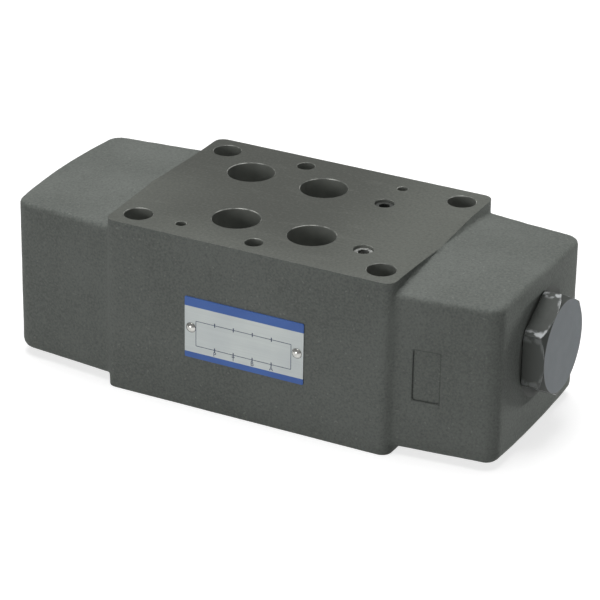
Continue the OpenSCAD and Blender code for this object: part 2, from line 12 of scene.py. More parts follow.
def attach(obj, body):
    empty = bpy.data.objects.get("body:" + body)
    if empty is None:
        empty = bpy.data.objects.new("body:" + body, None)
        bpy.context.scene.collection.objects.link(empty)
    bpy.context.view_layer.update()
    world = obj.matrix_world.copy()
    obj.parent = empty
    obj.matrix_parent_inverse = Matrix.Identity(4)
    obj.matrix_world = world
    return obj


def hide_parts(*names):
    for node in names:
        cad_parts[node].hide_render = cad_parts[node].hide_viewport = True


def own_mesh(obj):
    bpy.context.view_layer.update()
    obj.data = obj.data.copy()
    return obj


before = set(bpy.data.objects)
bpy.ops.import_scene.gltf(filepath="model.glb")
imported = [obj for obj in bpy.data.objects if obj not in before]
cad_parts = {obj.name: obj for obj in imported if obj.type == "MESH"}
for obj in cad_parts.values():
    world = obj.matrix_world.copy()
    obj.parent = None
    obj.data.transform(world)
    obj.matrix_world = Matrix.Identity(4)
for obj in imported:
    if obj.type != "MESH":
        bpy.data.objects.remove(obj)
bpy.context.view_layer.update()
scene = bpy.context.scene
MM = 0.001

# The casting
TOP = 70.0
BLOCK_LENGTH, BLOCK_WIDTH, BLOCK_CORNER = 120.0, 90.0, 4.0
LEFT_REACH, RIGHT_REACH = 106.3, 100.7
LEFT_BOW, RIGHT_BOW = 2.7, 1.2
ROOT_WIDTH, TIP_WIDTH = 83.5, 74.5
END_LOW, END_HIGH, END_CORNER = 2.0, 65.2, 5.0
PANEL_X, PANEL_Z = 72.5, 34.0
PANEL_W, PANEL_H, PANEL_DEPTH, PANEL_CORNER = 10.5, 20.5, 0.6, 1.0

# Holes of the mounting faces
HOLE_CHAMFER = 0.2
MAIN_BOLTS = [(sx * 50.8, sy * 34.95) for sx in (-1, 1) for sy in (-1, 1)]
MIDDLE_BOLTS = [(-16.7, 36.55), (-0.8, -36.55)]
MAIN_BOLT_R, MIDDLE_BOLT_R = 5.5, 3.5
PIN_HOLES = [(25.8, 34.95), (-32.5, -34.95)]
PIN_R, PIN_DEPTH = 2.0, 8.0
PORT_P, PORT_T = (-0.8, 20.65), (-32.5, 20.65)
PORT_A, PORT_B = (-16.7, -20.65), (15.1, -20.65)
PORT_R, PORT_CHAMFER, LOWER_PORT_DEPTH = 9.25, 0.25, 20.0
PORT_RECESS_R, PORT_RECESS_DEPTH = 13.664, 2.0
PILOT_X, PILOT_Y = (25.8, 19.05), (37.3, -22.25)
PILOT_R, PILOT_THREAD_R, PILOT_THREAD_DEPTH = 3.15, 3.88, 8.0
PILOT_RECESS_R, PILOT_RECESS_DEPTH = 6.242, 1.5

# Height at which a cutter that comes from above ends inside a seal recess
IN_RECESS = 1.0

# The valve bore along X, with the end and radius of each of its steps
BORE_Z, BORE_START = 38.0, -28.45
PLUG_SEAT, PLUG_FACE = 100.1, 109.2
PISTON_BORE, CHAMBER, SEAT_LAND, ANNULUS = (14.2, 9), (34, 11), (44, 13), (58, 16)
SLEEVE_BORE, PLUG_THREAD, PLUG_RECESS = (84.6, 13), (98.3, 15.03), (PLUG_SEAT, 17.384)
BORE_STEPS = (PISTON_BORE, CHAMBER, SEAT_LAND, ANNULUS, SLEEVE_BORE, PLUG_THREAD, PLUG_RECESS)
SPOT_FLOOR_R, SPOT_RIM_R, SPOT_WALL, SPOT_CUT_END = 20.0, 21.8, 0.9, 106.0

# Cored passages
WINDOW_W, WINDOW_DIP, WINDOW_TOP = 11.0, 6.0, 60.5
PASSAGE_Y, PASSAGE_Z, RISER_X, RISER_HEIGHT = -6.0, 12.0, 51.0, 13.0
CROSSING_R, PASSAGE_R, RISER_R = 6.8, 6.5, 6.0

# The plug: half its width across the flats, the radius of its turned face, and its bevel in degrees
PLUG_FLAT, PLUG_FACE_R, PLUG_BEVEL = 18.0, 17.9, 30.0

# The nameplate
PLATE_Z, PLATE_HALF_H, PLATE_FACE_Y = 33.7, 12.5, -45.5
PLATE_TOP_BAND, PLATE_LOW_BAND = 3.67, 2.4
PLATE_SCREW_X, PLATE_SCREW_R, PLATE_SCREW_DEPTH = 22.3, 1.03, 6.3
INK_HEIGHT = 0.03

# How far a cutter goes past the face that it cuts
PAST = 2.0


# Node trees

class Wire:
    """An output socket. Python's operators on it add Math nodes to its tree."""

    def __init__(self, tree, socket):
        self.tree = tree
        self.socket = socket

    def math(self, operation, *others):
        values = dict(enumerate((self, *others)))
        return self.tree.node("ShaderNodeMath", {"operation": operation}, values)

    def __add__(self, other):
        return self.math("ADD", other)

    __radd__ = __add__

    def __sub__(self, other):
        return self.math("SUBTRACT", other)

    def __rsub__(self, other):
        return self.tree.node("ShaderNodeMath", {"operation": "SUBTRACT"}, {0: other, 1: self})

    def __neg__(self):
        return 0.0 - self

    def __mul__(self, other):
        return self.math("MULTIPLY", other)

    __rmul__ = __mul__

    def __truediv__(self, other):
        return self.math("DIVIDE", other)

    def __abs__(self):
        return self.math("ABSOLUTE")

    def max(self, other):
        return self.math("MAXIMUM", other)

    def min(self, other):
        return self.math("MINIMUM", other)

    def root(self):
        return self.math("SQRT")

    def step(self, low, high):
        """0 below low, 1 above high and smooth between them."""
        settings = {"interpolation_type": "SMOOTHSTEP"}
        inputs = {0: self, 1: low, 2: high, 3: 0.0, 4: 1.0}
        return self.tree.node("ShaderNodeMapRange", settings, inputs)

    def waves(self, pitch):
        """Waves from 0 to 1 along this value, one to each pitch."""
        return (self * (2 * math.pi / pitch)).math("SINE") * 0.5 + 0.5

    def axes_mm(self):
        """The three parts of a place, in millimetres."""
        made = self.tree.node("ShaderNodeSeparateXYZ", {}, {0: self})
        return [Wire(self.tree, part) / MM for part in made.socket.node.outputs]


class Tree:
    """A node tree that is built by calls."""

    def __init__(self, group):
        self.group = group

    def node(self, kind, settings, inputs, out=0):
        """Adds a node: its settings, then the value or link of each input. Returns one output."""
        made = self.group.nodes.new(kind)
        for key, value in settings.items():
            setattr(made, key, value)
        for key, value in inputs.items():
            if isinstance(value, Wire):
                self.group.links.new(value.socket, made.inputs[key])
            else:
                made.inputs[key].default_value = value
        return Wire(self, made.outputs[out]) if made.outputs else None

    def outputs(self, kind, *names):
        """Adds a node that has no inputs. Returns the outputs with these names."""
        made = self.group.nodes.new(kind)
        return [Wire(self, made.outputs[name]) for name in names]

    def noise(self, place, scale, detail=2.0, rough=0.5):
        """Noise from 0 to 1, with its scale in features a metre."""
        inputs = {"Vector": place, "Scale": scale, "Detail": detail, "Roughness": rough}
        return self.node("ShaderNodeTexNoise", {}, inputs)

    def mix(self, share, first, second):
        """A colour between two."""
        inputs = {0: share, 6: first, 7: second}
        return self.node("ShaderNodeMix", {"data_type": "RGBA"}, inputs, out=2)

    def tones(self, field, first, second, low=0.3, high=0.7):
        """The first display colour where a field is below low, the second above high."""
        return self.mix(field.step(low, high), linear(*first), linear(*second))

    def patches(self, tone, field, low, high, share, colour):
        """A share of a display colour laid over a tone, where a field is high."""
        return self.mix(field.step(low, high) * share, tone, linear(*colour))


def sized_tree(name, sizes):
    """A Geometry Nodes tree with an input for each size. Returns it and its inputs by name."""
    group = bpy.data.node_groups.new(name, "GeometryNodeTree")
    group.interface.new_socket("Geometry", in_out="OUTPUT", socket_type="NodeSocketGeometry")
    for key in sizes:
        group.interface.new_socket(key, in_out="INPUT", socket_type="NodeSocketFloat")
    tree = Tree(group)
    return tree, dict(zip(sizes, tree.outputs("NodeGroupInput", *sizes)))


def linear(red, green, blue):
    """A colour written in display values from 0 to 255, as Blender's linear one."""
    def one(v):
        v = v / 255
        return v / 12.92 if v <= 0.04045 else ((v + 0.055) / 1.055) ** 2.4
    return (one(red), one(green), one(blue), 1.0)


def new_material(name):
    """An empty material and its tree."""
    material = bpy.data.materials.new(name)
    material.use_nodes = True
    material.node_tree.nodes.clear()
    return material, Tree(material.node_tree)


def surface(tree, **inputs):
    """The Principled surface of a material, joined to its output."""
    inputs = {key.replace("_", " "): value for key, value in inputs.items()}
    shader = tree.node("ShaderNodeBsdfPrincipled", {}, inputs)
    tree.node("ShaderNodeOutputMaterial", {}, {"Surface": shader})


def object_place(tree):
    return tree.node("ShaderNodeTexCoord", {}, {}, out="Object")


def stretched(tree, place, scale):
    return tree.node("ShaderNodeMapping", {}, {"Vector": place, "Scale": scale})


def bump(tree, height, distance):
    inputs = {"Height": height, "Distance": distance * MM, "Strength": 1.0}
    return tree.node("ShaderNodeBump", {}, inputs)


# Finishes

def cast_skin():
    """Phosphated grey iron as it left the sand: mottled, pitted and cloudy, with light specks.

    The sunk panel on the right end has a dark outline: painted shade along its recess edge, with
    some dirt.
    """
    material, tree = new_material("cast_iron_skin")
    place = object_place(tree)
    clouds = tree.noise(place, 28.0, 3.0, 0.55)
    mottle = tree.noise(place, 1150.0, 3.0, 0.6)
    pits = tree.noise(place, 380.0)
    specks = tree.noise(place, 900.0, 0.0)
    tone = tree.tones(clouds, (98, 102, 98), (108, 112, 108))
    tone = tree.patches(tone, mottle, 0.42, 0.7, 0.5, (122, 126, 121))
    tone = tree.patches(tone, 1.0 - mottle, 0.5, 0.72, 0.45, (82, 86, 82))
    tone = tree.patches(tone, pits, 0.62, 0.75, 0.2, (76, 80, 76))
    tone = tree.patches(tone, specks, 0.79, 0.83, 0.25, (160, 162, 157))
    x, y, z = place.axes_mm()
    # Painted shade with some dirt: a dark line along the edge of the sunk panel, where its walls
    # shade the floor.
    past = (abs(x - PANEL_X) - PANEL_W / 2).max(abs(z - PANEL_Z) - PANEL_H / 2)
    on_front = (-y).step(30.0, 31.0)
    outline = (1.0 - abs(past).step(0.1, 0.5)) * on_front
    tone = tree.mix(outline * (0.15 + 0.5 * pits), tone, linear(48, 51, 48))
    surface(tree, Base_Color=tone, Roughness=0.66 + 0.16 * mottle, Specular_IOR_Level=0.3,
            Normal=bump(tree, mottle + pits * 0.6, 0.12))
    return material


def milled_face():
    """The mounting faces: milled in wide arcs and phosphated, with painted light: paler towards the
    edges and darker in the middle.
    """
    material, tree = new_material("milled_face")
    mill_centre_x, feed = -160.0, 1.1
    place = object_place(tree)
    x, y, _ = place.axes_mm()
    clouds = tree.noise(place, 26.0, 4.0, 0.6)
    grain = tree.noise(place, 900.0, 3.0, 0.65)
    streaks = tree.noise(stretched(tree, place, (0.35, 1.0, 1.0)), 160.0, 3.0)
    out = x - mill_centre_x
    arcs = (out * out + y * y).root().waves(feed) * tree.noise(place, 60.0, 1.0).step(0.35, 0.75)
    # Painted light: paler towards the right end, the front edge and the front of the left end, with
    # random clouds on top.
    right = x.step(-4.0, 60.0)
    front = (-y).step(8.0, 46.0) * 0.6
    left = (-x).step(18.0, 60.0) * (20.0 - y).step(0.0, 30.0) * 0.6
    painted_light_and_clouds = right.max(front).max(left) + (clouds - 0.5) * 0.5
    tone = tree.tones(painted_light_and_clouds, (74, 76, 71), (100, 103, 97), -0.15, 1.1)
    tone = tree.patches(tone, streaks, 0.55, 0.8, 0.35, (112, 114, 108))
    tone = tree.mix(arcs * 0.06, tone, linear(106, 108, 102))
    tone = tree.patches(tone, grain, 0.4, 0.7, 0.34, (62, 65, 60))
    tone = tree.patches(tone, 1.0 - grain, 0.5, 0.72, 0.22, (118, 121, 115))
    surface(tree, Base_Color=tone, Roughness=0.5 + 0.14 * clouds, Specular_IOR_Level=0.35,
            Normal=bump(tree, arcs * 0.5 + grain * 0.4, 0.015))
    return material


def bored_wall():
    """Drilled and bored walls with fine feed rings. The plug's spot face is painted darker, as
    shadow.
    """
    material, tree = new_material("bored_wall")
    feed = 0.6
    place = object_place(tree)
    x, _, z = place.axes_mm()
    clouds = tree.noise(place, 120.0)
    # Painted shadow: the bored walls from just short of the plug seat outwards, the spot face among
    # them, are darker.
    spot_face_painted_shadow = x.step(PLUG_SEAT - 4.0, PLUG_SEAT - 2.0)
    tone = tree.tones(clouds, (116, 119, 114), (132, 135, 129))
    tone = tree.mix(spot_face_painted_shadow, tone, linear(90, 93, 89))
    surface(tree, Base_Color=tone, Roughness=0.5 + 0.16 * clouds, Specular_IOR_Level=0.4,
            Normal=bump(tree, z.waves(feed), 0.01))
    return material


def rubbed_edge_with_glint(name, coated, bare, share, painted_shade=None):
    """A deburred edge where the coating has rubbed thin and the iron shows in places; the bright
    bare tone is also a painted highlight.

    With a painted shade tone, only the front edge is rubbed and lit, and the other edges are
    painted darker in that tone as shade.
    """
    material, tree = new_material(name)
    place = object_place(tree)
    rubbed = tree.noise(place, 240.0, 3.0).step(0.7 - share, 0.95 - share)
    tone = linear(*coated)
    if painted_shade:
        _, y, _ = place.axes_mm()
        # Painted highlight on the front edge only; the other edges get the painted shade tone.
        front = (-y).step(BLOCK_WIDTH / 2 - 1.5, BLOCK_WIDTH / 2 - 0.3)
        rubbed = rubbed * front
        tone = tree.mix(front, linear(*painted_shade), tone)
    tone = tree.mix(rubbed, tone, linear(*bare))
    surface(tree, Base_Color=tone, Roughness=0.5 - 0.1 * rubbed, Metallic=0.2 * rubbed)
    return material


def turned_steel(name, dark, light, feed, roughness, axis=0, metallic=1.0, cloud_scale=90.0):
    """Ground or turned steel with feed rings across one axis."""
    material, tree = new_material(name)
    place = object_place(tree)
    rings = (place.axes_mm()[axis] + tree.noise(place, 700.0) * 0.06).waves(feed)
    clouds = tree.noise(place, cloud_scale).step(0.3, 0.7)
    tone = tree.mix(clouds * 0.6 + rings * 0.3, linear(*dark), linear(*light))
    surface(tree, Base_Color=tone, Metallic=metallic, Roughness=roughness + 0.1 * clouds,
            Normal=bump(tree, rings, 0.006))
    return material


RUBBED_STEEL = (206, 209, 210)


def plug_places(place):
    """On the plug: X, distance from its axis, 1 on the front flat and 1 short of the corners."""
    x, y, z = place.axes_mm()
    high = z - BORE_Z
    out = (y * y + high * high).root()
    front_flat = (-y).step(PLUG_FLAT - 0.35, PLUG_FLAT - 0.1)
    short_of_corner = 1.0 - out.step(20.4, 20.7)
    return x, out, front_flat, short_of_corner


def black_oxide():
    """Blackened steel: satin flats, rubbed bare along the bevel, and a paler turned face. The front
    flat is painted paler, as light.
    """
    material, tree = new_material("black_oxide_steel")
    feed = 0.4
    place = object_place(tree)
    x, out, front_flat, short_of_corner = plug_places(place)
    clouds = tree.noise(place, 130.0, 3.0, 0.6)
    grain = tree.noise(place, 1600.0)
    spots = tree.noise(place, 320.0)
    dark = tree.tones(clouds, (70, 73, 70), (80, 83, 80), 0.35, 0.75)
    # Painted light: the front flat is painted paler, to make up for the light that does not reach
    # it.
    dark = tree.mix(front_flat, dark, linear(92, 95, 92))
    below = PLUG_FACE - (out - PLUG_FACE_R) * math.tan(math.radians(PLUG_BEVEL)) - x
    on_flats = below.step(0.1, 0.3)
    rim = on_flats * (1.0 - below.step(0.5, 1.3)) * out.step(18.2, 19.2)
    corner = out.step(19.3, 20.0) * short_of_corner * on_flats
    rubbed = (corner * spots.step(0.42, 0.56)).max(rim * spots.step(0.3, 0.5))
    rubbed = rubbed * (1.0 - 0.75 * front_flat)
    dark = tree.mix(rubbed * 0.8, dark, linear(*RUBBED_STEEL))
    face = tree.tones(clouds, (127, 132, 135), (133, 138, 141))
    face = tree.patches(face, grain, 0.5, 0.75, 0.2, (116, 120, 123))
    turned = x.step(PLUG_FACE - 0.06, PLUG_FACE - 0.02)
    surface(tree, Base_Color=tree.mix(turned, dark, face), Specular_IOR_Level=0.2,
            Roughness=0.48 + 0.12 * clouds + 0.1 * turned,
            Normal=bump(tree, out.waves(feed) * turned * 0.5 + grain * 0.4, 0.008))
    return material


def worn_edge():
    """Edges of the plug where spanners have rubbed the black away."""
    material, tree = new_material("worn_plug_edge")
    place = object_place(tree)
    _, out, front_flat, short_of_corner = plug_places(place)
    worn = out.step(PLUG_FACE_R + 0.1, PLUG_FACE_R + 0.3) * short_of_corner
    spots = tree.noise(place, 190.0, 3.0, 0.6).step(0.42, 0.58)
    rubbed = spots * worn * (1.0 - 0.5 * front_flat)
    tone = tree.mix(rubbed, linear(70, 73, 72), linear(*RUBBED_STEEL))
    surface(tree, Base_Color=tone, Metallic=0.5 * rubbed, Roughness=0.36 - 0.08 * rubbed)
    return material


def seal_rubber():
    material, tree = new_material("seal_rubber")
    place = object_place(tree)
    bloom = tree.noise(place, 220.0, 3.0)
    grain = tree.noise(place, 2600.0, 1.0)
    tone = tree.tones(bloom, (24, 24, 25), (40, 40, 41), 0.35, 0.75)
    surface(tree, Base_Color=tone, Roughness=0.55 + 0.2 * bloom, Normal=bump(tree, grain, 0.02))
    return material


def backup_plastic():
    material, tree = new_material("backup_ring_plastic")
    clouds = tree.noise(object_place(tree), 160.0)
    tone = tree.tones(clouds, (222, 219, 208), (236, 234, 226))
    surface(tree, Base_Color=tone, Roughness=0.5 + 0.1 * clouds)
    return material


def printed_plate():
    """Anodised plate, brushed along its length, with a blue band along its top and bottom."""
    material, tree = new_material("printed_plate")
    top_edge = PLATE_Z + PLATE_HALF_H - PLATE_TOP_BAND
    low_edge = PLATE_Z - PLATE_HALF_H + PLATE_LOW_BAND
    soft = 0.04
    place = object_place(tree)
    z = place.axes_mm()[2]
    band = z.step(top_edge - soft, top_edge + soft) + (1 - z.step(low_edge - soft, low_edge + soft))
    lines = tree.noise(stretched(tree, place, (40.0, 1000.0, 2600.0)), 1.0)
    clouds = tree.noise(place, 70.0)
    silver = tree.tones(clouds, (188, 194, 194), (196, 202, 200))
    silver = tree.patches(silver, lines, 0.35, 0.7, 0.2, (174, 180, 181))
    blue = tree.tones(clouds, (60, 100, 176), (68, 110, 186))
    surface(tree, Base_Color=tree.mix(band, silver, blue), Metallic=0.45 - 0.45 * band,
            Roughness=0.4 + 0.1 * lines, Normal=bump(tree, lines, 0.002))
    return material


def plate_ink():
    material, tree = new_material("plate_ink")
    worn = tree.noise(object_place(tree), 1400.0)
    tone = tree.tones(worn, (62, 72, 98), (104, 116, 138), 0.5, 0.8)
    surface(tree, Base_Color=tone, Roughness=0.55 + 0.1 * worn)
    return material


def bright_plating():
    material, tree = new_material("bright_plating")
    clouds = tree.noise(object_place(tree), 500.0)
    tone = tree.tones(clouds, (170, 170, 166), (194, 194, 190))
    surface(tree, Base_Color=tone, Metallic=1.0, Roughness=0.14 + 0.1 * clouds)
    return material


# Mesh helpers

def new_object(name, mesh, *materials):
    made = bpy.data.objects.new(name, mesh)
    scene.collection.objects.link(made)
    for material in materials:
        mesh.materials.append(material)
    return made


def object_of(work, name, *materials):
    """An object from a bmesh, which is then freed."""
    mesh = bpy.data.meshes.new(name)
    work.to_mesh(mesh)
    work.free()
    return new_object(name, mesh, *materials)


def drop(*objects):
    for made in objects:
        bpy.data.objects.remove(made)


def frozen(made, name):
    """A plain mesh of an object with its modifiers worked out, in place of that object."""
    graph = bpy.context.evaluated_depsgraph_get()
    mesh = bpy.data.meshes.new_from_object(made.evaluated_get(graph))
    mesh.name = name
    drop(made)
    return mesh


def grown(name, tree, sizes):
    """The mesh that a Geometry Nodes tree makes from its sizes."""
    made = new_object(name, bpy.data.meshes.new(name))
    grow = made.modifiers.new("grow", "NODES")
    grow.node_group = tree.group
    for item in tree.group.interface.items_tree:
        if item.in_out == "INPUT":
            grow[item.identifier] = sizes[item.name]
    return frozen(made, name)


def smooth_by_angle(mesh, degrees):
    mesh.shade_smooth()
    mesh.set_sharp_from_angle(angle=math.radians(degrees))


def turned_solid(name, profile, place, axis, segments=64, edges=()):
    """A closed solid of revolution from [along, radius] points, about an axis through a place.

    The bands that start at the points numbered in edges get the second material.
    """
    turn = Vector((0, 0, 1)).rotation_difference(Vector(axis)).to_matrix().to_4x4()
    angles = [2 * math.pi * i / segments for i in range(segments)]
    work = bmesh.new()
    rings = []
    for along, radius in profile:
        points = [(radius * MM * math.cos(a), radius * MM * math.sin(a), along * MM)
                  for a in (angles if radius else angles[:1])]
        rings.append([work.verts.new(p) for p in points])
    for band, (low, high) in enumerate(zip(rings, rings[1:])):
        for i in range(segments):
            j = (i + 1) % segments
            corners = [low[i % len(low)], low[j % len(low)],
                       high[j % len(high)], high[i % len(high)]]
            face = work.faces.new(list(dict.fromkeys(corners)))
            face.material_index = int(band in edges)
    bmesh.ops.recalc_face_normals(work, faces=work.faces)
    work.transform(Matrix.Translation(Vector(place) * MM) @ turn)
    return object_of(work, name)


def rod(name, radius, start, end, place, axis, segments):
    """A closed round rod from start to end along an axis through a place."""
    profile = [(start, 0), (start, radius), (end, radius), (end, 0)]
    return turned_solid(name, profile, place, axis, segments)


def prism(name, outline, height, matrix):
    """A closed prism over an outline in its own XY plane, placed by a matrix in metres."""
    work = bmesh.new()
    low = [work.verts.new((px * MM, py * MM, 0)) for px, py in outline]
    high = [work.verts.new((px * MM, py * MM, height * MM)) for px, py in outline]
    work.faces.new(low)
    work.faces.new(high)
    for i in range(len(outline)):
        j = (i + 1) % len(outline)
        work.faces.new((low[i], low[j], high[j], high[i]))
    bmesh.ops.recalc_face_normals(work, faces=work.faces)
    work.transform(matrix)
    return object_of(work, name)


def round_outline(width, height, radius, steps=8):
    """The outline of a rectangle with round corners, about its middle."""
    points = []
    for k, (sx, sy) in enumerate(((1, 1), (-1, 1), (-1, -1), (1, -1))):
        for i in range(steps + 1):
            a = math.pi / 2 * (k + i / steps)
            points.append((sx * (width / 2 - radius) + radius * math.cos(a),
                           sy * (height / 2 - radius) + radius * math.sin(a)))
    return points


# The casting: its skin follows a rule, so Geometry Nodes work it out as a distance field

CASTING_SIZES = {
    "Block length": BLOCK_LENGTH, "Block width": BLOCK_WIDTH, "Block corner": BLOCK_CORNER,
    "Left reach": LEFT_REACH, "Right reach": RIGHT_REACH,
    "Left bow": LEFT_BOW, "Right bow": RIGHT_BOW,
    "Root width": ROOT_WIDTH, "Tip width": TIP_WIDTH,
    "End low": END_LOW, "End high": END_HIGH, "End corner": END_CORNER,
    "Upper edge": 2.0, "Lower edge": 4.0, "Root fillet": 2.0, "Top root fillet": 0.8,
    "Parting place": -6.0, "Parting bulge": 1.3, "Root ridge": 4.25,
    "Left tip ridge": 0.0, "Right tip ridge": 2.0, "Ridge round": 1.0, "Waviness": 0.13,
}
CASTING_BOX = ((-112.0, -52.0, -6.0), (112.0, 52.0, 76.0))
CASTING_STEP = 0.95
INTO_BLOCK = 3.0
EDGE_CHANGE, FILLET_CHANGE = (20.0, 45.0), (58.0, 64.0)
EDGE_BREAK = 0.6

# The casting's materials by number. The bored walls are number 2.
SKIN, MILLED, EDGE = 0, 1, 3


def round_both(a, b, radius):
    """The overlap of two distances, with its edge rounded."""
    low, high = (a + radius).max(0.0), (b + radius).max(0.0)
    return a.max(b).min(-radius) + (low * low + high * high).root()


def fillet_both(a, b, radius):
    """The union of two distances, with a fillet between them."""
    low, high = (radius - a).max(0.0), (radius - b).max(0.0)
    return a.min(b).max(radius) - (low * low + high * high).root()


def block_field(size, x, y):
    """The block without its faces: its sides bulge a little at the parting line."""
    half, corner = size["Block length"] / 2, size["Block corner"]
    off = y - size["Parting place"]
    bulge = size["Parting bulge"] * (1.0 - abs(off) / (half / 2)).max(0.0)
    qx = abs(x) - half - bulge + corner
    qy = abs(y) - size["Block width"] / 2 + corner
    ox, oy = qx.max(0.0), qy.max(0.0)
    return (ox * ox + oy * oy).root() + qx.max(qy).min(0.0) - corner


def end_field(size, side, way, x, y, z):
    """A cast end: tapered and bowed in plan, with a low ridge along its top."""
    half = size["Block length"] / 2
    reach, bow = size[side + " reach"], size[side + " bow"]
    root, tip = size["Root width"] / 2, size["Tip width"] / 2
    along = x * way
    taper = ((root - tip) / (reach - half)).math("ARCTANGENT")
    flank = (abs(y) - root) * taper.math("COSINE") + (along - half) * taper.math("SINE")
    bow_r = (tip * tip + bow * bow) / (2 * bow)
    out = along - reach + bow_r
    face = (out * out + y * y).root() - bow_r
    plan = round_both(flank, face, size["End corner"])

    share = ((along - half) / (reach - half)).max(0.0).min(1.0)
    ridge = size["Root ridge"] + (size[side + " tip ridge"] - size["Root ridge"]) * share
    off, soft = y - size["Parting place"], size["Ridge round"]
    span = root + (tip - root) * share + size["Parting place"] * (1.0 - 2.0 * off.step(-1.0, 1.0))
    aside = ((off * off + soft * soft).root() - soft) / span
    roof = size["End high"] + ridge * (1.0 - aside).max(0.0)
    slab = (z - roof).max(size["End low"] - z)
    upper = z.step(*EDGE_CHANGE)
    edge = size["Lower edge"] + (size["Upper edge"] - size["Lower edge"]) * upper
    return round_both(plan, slab, edge).max(half - INTO_BLOCK - along)


def casting_tree(skin):
    """The tree of the casting's skin, with allowance above and below for the milled faces."""
    tree, size = sized_tree("casting_skin", CASTING_SIZES)
    place = tree.node("GeometryNodeInputPosition", {}, {})
    x, y, z = place.axes_mm()
    field = block_field(size, x, y)
    near_top = z.step(*FILLET_CHANGE)
    fillet = size["Root fillet"] + (size["Top root fillet"] - size["Root fillet"]) * near_top
    for side, way in (("Left", -1.0), ("Right", 1.0)):
        field = fillet_both(field, end_field(size, side, way, x, y, z), fillet)
    wave = tree.noise(place, 45.0) + tree.noise(place, 190.0, 1.0) * 0.6 - 0.8
    field = field + wave * size["Waviness"] * 2

    low, high = CASTING_BOX
    counts = [int((b - a) / CASTING_STEP) for a, b in zip(low, high)]
    volume = tree.node("GeometryNodeVolumeCube", {}, {
        "Density": -field, "Background": -5.0,
        "Min": [v * MM for v in low], "Max": [v * MM for v in high],
        "Resolution X": counts[0], "Resolution Y": counts[1], "Resolution Z": counts[2]})
    shell = tree.node("GeometryNodeVolumeToMesh", {}, {"Volume": volume, "Threshold": 0.0})
    shell = tree.node("GeometryNodeRealizeInstances", {}, {"Geometry": shell})
    shell = tree.node("GeometryNodeSetMaterial", {}, {"Geometry": shell, "Material": skin})
    tree.node("NodeGroupOutput", {}, {"Geometry": shell})
    return tree


def casting_blank(materials):
    """The casting with both mounting faces milled flat and their edges broken."""
    mesh = grown("casting_blank", casting_tree(materials[SKIN]), CASTING_SIZES)
    mesh.materials.clear()
    work = bmesh.new()
    work.from_mesh(mesh)
    bmesh.ops.recalc_face_normals(work, faces=work.faces)
    for z, way in ((TOP * MM, 1), (0.0, -1)):
        cut = bmesh.ops.bisect_plane(
            work, geom=work.verts[:] + work.edges[:] + work.faces[:], plane_co=(0, 0, z),
            plane_no=(0, 0, way), clear_outer=True, dist=1e-7)
        rim = [e for e in cut["geom_cut"] if isinstance(e, bmesh.types.BMEdge)]
        caps = bmesh.ops.edgeloop_fill(work, edges=rim, mat_nr=MILLED)["faces"]
        rim = [e for face in caps for e in face.edges]
        bevel = bmesh.ops.bevel(
            work, geom=rim, offset=EDGE_BREAK * MM, segments=2, affect="EDGES", profile=0.5,
            material=EDGE, clamp_overlap=True)
        for face in bevel["faces"]:
            face.material_index = EDGE
    bmesh.ops.recalc_face_normals(work, faces=work.faces)
    work.to_mesh(mesh)
    work.free()
    return new_object("casting_blank", mesh, *materials)


def drill(name, place, radius, chamfer, low, high, segments=64):
    """A hole along Z from low to high, with a chamfer where it leaves a mounting face."""
    profile, edges = [(low, 0), (low, radius)], []
    if low < 0:
        profile = [(-PAST, 0), (-PAST, radius + chamfer + PAST), (chamfer, radius)]
        edges.append(1)
    if high > TOP:
        edges.append(len(profile))
        profile += [(TOP - chamfer, radius), (TOP + PAST, radius + chamfer + PAST), (TOP + PAST, 0)]
    else:
        profile += [(high, radius), (high, 0)]
    return turned_solid(name, profile, (*place, 0), (0, 0, 1), segments, edges)


def hole_cutters():
    """Holes and seal recesses of the mounting faces."""
    under, over = -PAST, TOP + PAST
    thread_end = TOP - PILOT_THREAD_DEPTH
    cutters = [drill("cut_bolt", p, MAIN_BOLT_R, HOLE_CHAMFER, under, over) for p in MAIN_BOLTS]
    cutters += [drill("cut_middle_bolt", p, MIDDLE_BOLT_R, HOLE_CHAMFER, under, over, 48)
                for p in MIDDLE_BOLTS]
    for p in PIN_HOLES:
        cutters += [drill("cut_pin_top", p, PIN_R, HOLE_CHAMFER, TOP - PIN_DEPTH, over, 40),
                    drill("cut_pin_base", p, PIN_R, HOLE_CHAMFER, under, PIN_DEPTH, 40)]
    for p in (PORT_P, PORT_T, PORT_A):
        cutters.append(drill("cut_port", p, PORT_R, PORT_CHAMFER, IN_RECESS, over, 96))
    for name, low, high in (("cut_port_b", BORE_Z - WINDOW_DIP, over),
                            ("cut_port_b_base", under, LOWER_PORT_DEPTH)):
        cutters.append(drill(name, PORT_B, PORT_R, PORT_CHAMFER, low, high, 96))
    for p in (PORT_P, PORT_T, PORT_A, PORT_B):
        cutters.append(rod("cut_port_recess", PORT_RECESS_R, -PAST, PORT_RECESS_DEPTH, (*p, 0),
                           (0, 0, 1), 96))
    for p in (PILOT_X, PILOT_Y):
        cutters += [
            drill("cut_pilot", p, PILOT_R, HOLE_CHAMFER, IN_RECESS, thread_end + PAST, 48),
            drill("cut_pilot_thread", p, PILOT_THREAD_R, HOLE_CHAMFER / 2, thread_end, over, 48),
            rod("cut_pilot_recess", PILOT_RECESS_R, -PAST, PILOT_RECESS_DEPTH, (*p, 0),
                (0, 0, 1), 64)]
    return cutters


